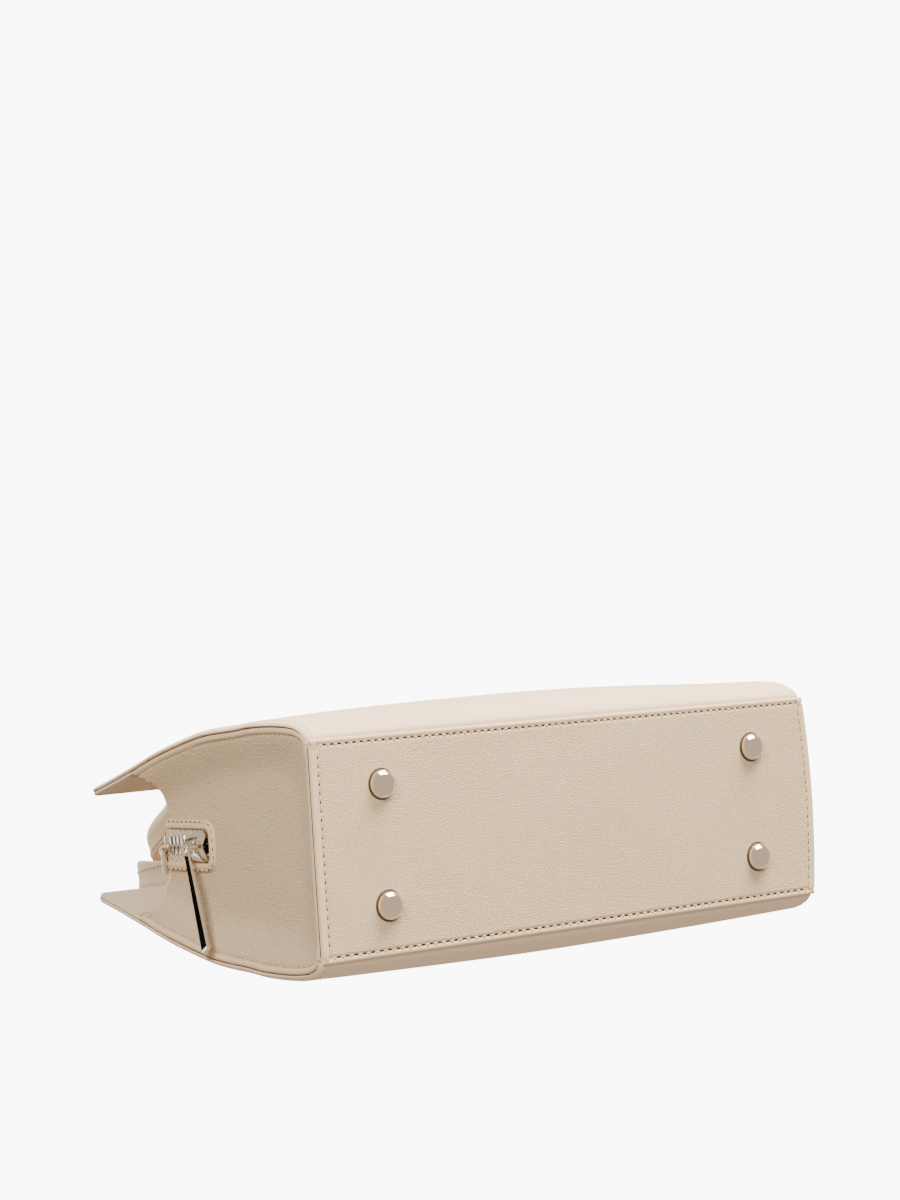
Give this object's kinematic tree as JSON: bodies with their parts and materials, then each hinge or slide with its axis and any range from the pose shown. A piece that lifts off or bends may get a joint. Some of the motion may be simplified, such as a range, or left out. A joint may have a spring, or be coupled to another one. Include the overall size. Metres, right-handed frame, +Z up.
{
  "type": "structured leather tote bag",
  "caption": "Structured leather tote bag with two rolled top handles, panels that stand past the gussets, a zip that runs down over both ends, and metal feet.",
  "frame": {"origin": "on the ground, under the middle of the bag's bounding box", "axes": "+Z up, +X along the bag towards its right gusset, -Y towards the front panel, the zip's slider at the -X end"},
  "size_m": [0.2922, 0.1164, 0.299],
  "materials": {
    "shell_leather": "fine pebble grain, satin",
    "facing_leather": "smooth, satin",
    "lining_cloth": "matt twill",
    "board": "matt",
    "tape_cloth": "matt herringbone weave",
    "polished_metal": "mirror polished nickel plate"
  },
  "bodies": {
    "bag_body": {"back_handle_tongue_left": "shell_leather", "back_handle_tongue_right": "shell_leather", "back_lining": "lining_cloth", "back_panel": "shell_leather", "back_top_facing": "facing_leather", "back_zip_panel": "shell_leather", "base_board": "board", "base_lining": "lining_cloth", "base_panel": "shell_leather", "foot_back_left": "polished_metal", "foot_back_right": "polished_metal", "foot_front_left": "polished_metal", "foot_front_right": "polished_metal", "foot_washer_back_left": "polished_metal", "foot_washer_back_right": "polished_metal", "foot_washer_front_left": "polished_metal", "foot_washer_front_right": "polished_metal", "front_handle_tongue_left": "shell_leather", "front_handle_tongue_right": "shell_leather", "front_lining": "lining_cloth", "front_panel": "shell_leather", "front_top_facing": "facing_leather", "front_zip_panel": "shell_leather", "left_gusset": "shell_leather", "left_gusset_lining": "lining_cloth", "left_ring_tab": "facing_leather", "right_gusset": "shell_leather", "right_gusset_lining": "lining_cloth", "right_ring_tab": "facing_leather", "zip_bottom_stop": "polished_metal", "zip_facing": "facing_leather", "zip_tape_back": "tape_cloth", "zip_tape_front": "tape_cloth", "zip_teeth_back": "polished_metal", "zip_teeth_front": "polished_metal", "zip_top_stop_back": "polished_metal", "zip_top_stop_front": "polished_metal"},
    "slider": {"slider_body": "polished_metal", "slider_back_plate": "polished_metal"},
    "pull_link_body": {"pull_link": "polished_metal"},
    "pull_bar_body": {"pull_bar": "polished_metal"},
    "left_ring_body": {"left_d_ring": "polished_metal"},
    "right_ring_body": {"right_d_ring": "polished_metal"},
    "front_handle_body": {"front_handle": "shell_leather"},
    "back_handle_body": {"back_handle": "shell_leather"}
  },
  "joints": [
    {"name": "slider_travel", "type": "slide", "parent": "bag_body", "child": "slider", "axis": [0, 0, 1], "range_m": [0, 0.012]},
    {"name": "pull_link_swing", "type": "hinge", "parent": "slider", "child": "pull_link_body", "pos_m": [-0.13935, 0, 0.10926], "axis": [0, 0, 1], "range_deg": [0, 162]},
    {"name": "pull_bar_swing", "type": "hinge", "parent": "pull_link_body", "child": "pull_bar_body", "pos_m": [-0.13935, 0.00325, 0.10926], "axis": [-1, 0, 0], "range_deg": [-107, 58]},
    {"name": "left_ring_swing", "type": "hinge", "parent": "bag_body", "child": "left_ring_body", "pos_m": [-0.1326, 0.003, 0.1408], "axis": [0.5878, 0, 0.809], "range_deg": [0, 170]},
    {"name": "right_ring_swing", "type": "hinge", "parent": "bag_body", "child": "right_ring_body", "pos_m": [0.1326, 0.003, 0.1408], "axis": [0.5878, 0, -0.809], "range_deg": [0, 170]},
    {"name": "front_handle_fold", "type": "hinge", "parent": "bag_body", "child": "front_handle_body", "pos_m": [0, -0.01969, 0.1892], "axis": [1, 0, 0], "range_deg": [0, 103.5]},
    {"name": "back_handle_fold", "type": "hinge", "parent": "bag_body", "child": "back_handle_body", "pos_m": [0, 0.01969, 0.1892], "axis": [-1, 0, 0], "range_deg": [0, 77.5]}
  ]
}
